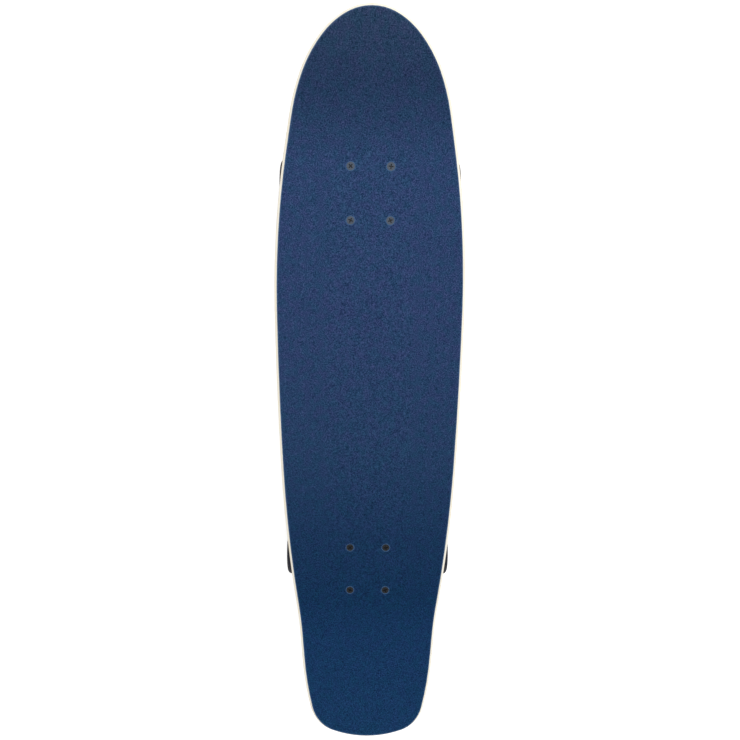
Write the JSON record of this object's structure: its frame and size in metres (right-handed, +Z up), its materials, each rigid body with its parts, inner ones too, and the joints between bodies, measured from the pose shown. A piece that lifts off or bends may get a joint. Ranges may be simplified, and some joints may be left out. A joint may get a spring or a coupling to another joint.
{
  "type": "skateboard",
  "caption": "Cruiser longboard skateboard: kicked maple deck with blue grip tape, sprung steering trucks and four rolling urethane wheels.",
  "frame": {"origin": "on the ground under the middle of the deck's length and width", "axes": "+X towards the nose, +Y to the rider's left, +Z up from the ground"},
  "size_m": [0.783, 0.2018, 0.1429],
  "materials": {
    "grip_abrasive": "fine mineral grit, navy blue",
    "maple_face": "clear satin lacquer over maple veneer",
    "maple_core": "sanded and sealed ply edge",
    "cast_aluminium": "tumbled raw casting",
    "axle_steel": "ground steel",
    "zinc_steel": "bright zinc plate",
    "black_hardware": "black oxide",
    "bearing_steel": "polished",
    "shield_steel": "stamped, satin",
    "cage_nylon": "matte",
    "wheel_urethane": "satin cast urethane, dark navy",
    "core_nylon": "satin moulded",
    "bushing_urethane": "satin cast urethane, blue",
    "pivot_urethane": "matte black",
    "riser_rubber": "matte black"
  },
  "bodies": {
    "deck": {"deck_bottom_ply": "maple_face", "deck_core": "maple_core", "deck_top_ply": "maple_face", "grip_tape": "grip_abrasive", "front_mounting_bolts": "black_hardware", "front_mounting_nuts": "zinc_steel", "front_riser_pad": "riser_rubber", "front_baseplate": "cast_aluminium", "front_pivot_cup": "pivot_urethane", "front_kingpin": "zinc_steel", "front_kingpin_nut": "zinc_steel", "front_board_bushing": "bushing_urethane", "front_road_bushing": "bushing_urethane", "front_cup_washers": "zinc_steel", "rear_mounting_bolts": "black_hardware", "rear_mounting_nuts": "zinc_steel", "rear_riser_pad": "riser_rubber", "rear_baseplate": "cast_aluminium", "rear_pivot_cup": "pivot_urethane", "rear_kingpin": "zinc_steel", "rear_kingpin_nut": "zinc_steel", "rear_board_bushing": "bushing_urethane", "rear_road_bushing": "bushing_urethane", "rear_cup_washers": "zinc_steel"},
    "front_hanger_body": {"front_hanger": "cast_aluminium", "front_axle": "axle_steel", "front_axle_nuts": "zinc_steel", "front_speed_washers": "zinc_steel", "front_bearing_spacers": "axle_steel", "front_inner_races": "bearing_steel"},
    "front_left_wheel": {"front_left_tyre": "wheel_urethane", "front_left_wheel_core": "core_nylon", "front_left_outer_races": "bearing_steel", "front_left_bearing_balls": "bearing_steel", "front_left_bearing_cages": "cage_nylon", "front_left_bearing_shields": "shield_steel"},
    "front_right_wheel": {"front_right_tyre": "wheel_urethane", "front_right_wheel_core": "core_nylon", "front_right_outer_races": "bearing_steel", "front_right_bearing_balls": "bearing_steel", "front_right_bearing_cages": "cage_nylon", "front_right_bearing_shields": "shield_steel"},
    "rear_hanger_body": {"rear_hanger": "cast_aluminium", "rear_axle": "axle_steel", "rear_axle_nuts": "zinc_steel", "rear_speed_washers": "zinc_steel", "rear_bearing_spacers": "axle_steel", "rear_inner_races": "bearing_steel"},
    "rear_left_wheel": {"rear_left_tyre": "wheel_urethane", "rear_left_wheel_core": "core_nylon", "rear_left_outer_races": "bearing_steel", "rear_left_bearing_balls": "bearing_steel", "rear_left_bearing_cages": "cage_nylon", "rear_left_bearing_shields": "shield_steel"},
    "rear_right_wheel": {"rear_right_tyre": "wheel_urethane", "rear_right_wheel_core": "core_nylon", "rear_right_outer_races": "bearing_steel", "rear_right_bearing_balls": "bearing_steel", "rear_right_bearing_cages": "cage_nylon", "rear_right_bearing_shields": "shield_steel"}
  },
  "joints": [
    {"name": "front_steer", "type": "hinge", "parent": "deck", "child": "front_hanger_body", "pos_m": [0.211, 0, 0.0535], "axis": [0.8995, 0, 0.4369], "range_deg": [-12, 12], "stiffness_Nm_per_rad": 60, "deforming": ["front_board_bushing", "front_road_bushing"]},
    {"name": "front_left_roll", "type": "hinge", "parent": "front_hanger_body", "child": "front_left_wheel", "pos_m": [0.228, 0.0775, 0.03], "axis": [0, 1, 0], "continuous": true},
    {"name": "front_right_roll", "type": "hinge", "parent": "front_hanger_body", "child": "front_right_wheel", "pos_m": [0.228, -0.0775, 0.03], "axis": [0, 1, 0], "continuous": true},
    {"name": "rear_steer", "type": "hinge", "parent": "deck", "child": "rear_hanger_body", "pos_m": [-0.1953, 0, 0.0535], "axis": [-0.8995, 0, 0.4369], "range_deg": [-12, 12], "stiffness_Nm_per_rad": 60, "deforming": ["rear_board_bushing", "rear_road_bushing"]},
    {"name": "rear_left_roll", "type": "hinge", "parent": "rear_hanger_body", "child": "rear_left_wheel", "pos_m": [-0.2123, 0.0775, 0.03], "axis": [0, 1, 0], "continuous": true},
    {"name": "rear_right_roll", "type": "hinge", "parent": "rear_hanger_body", "child": "rear_right_wheel", "pos_m": [-0.2123, -0.0775, 0.03], "axis": [0, 1, 0], "continuous": true}
  ]
}
